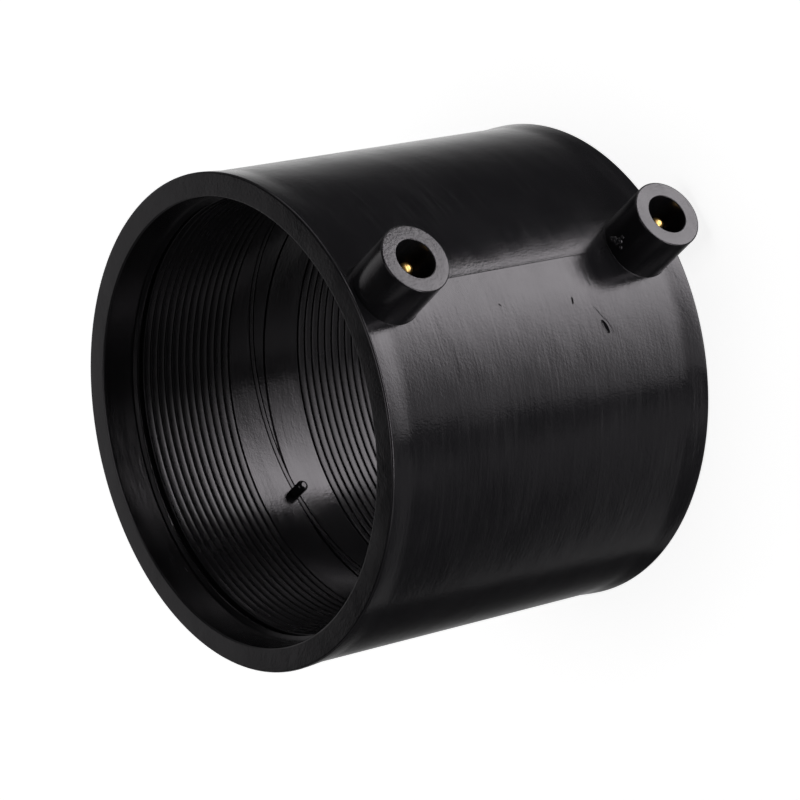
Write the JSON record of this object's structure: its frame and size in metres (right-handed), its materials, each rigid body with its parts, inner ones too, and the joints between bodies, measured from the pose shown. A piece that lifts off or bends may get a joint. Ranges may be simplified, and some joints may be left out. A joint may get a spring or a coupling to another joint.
{
  "type": "electrofusion pipe coupler",
  "caption": "Black polyethylene electrofusion coupler: a short flared sleeve with heating wire wound inside both sockets, stop pegs at mid-length and a shrouded brass terminal near each end.",
  "frame": {"origin": "centre of the lower mouth, in the plane of the lower end face, on which the coupler stands", "axes": "+Z along the pipe axis towards the upper mouth; +X towards the two terminals"},
  "size_m": [0.1585, 0.1426, 0.116],
  "materials": {
    "black_polyethylene": "satin moulded",
    "coated_wire": "satin",
    "brass": "turned"
  },
  "bodies": {
    "root": {"body": "black_polyethylene", "heating_coil": "coated_wire", "terminal_pin_lower": "brass", "terminal_pin_upper": "brass"}
  },
  "joints": []
}
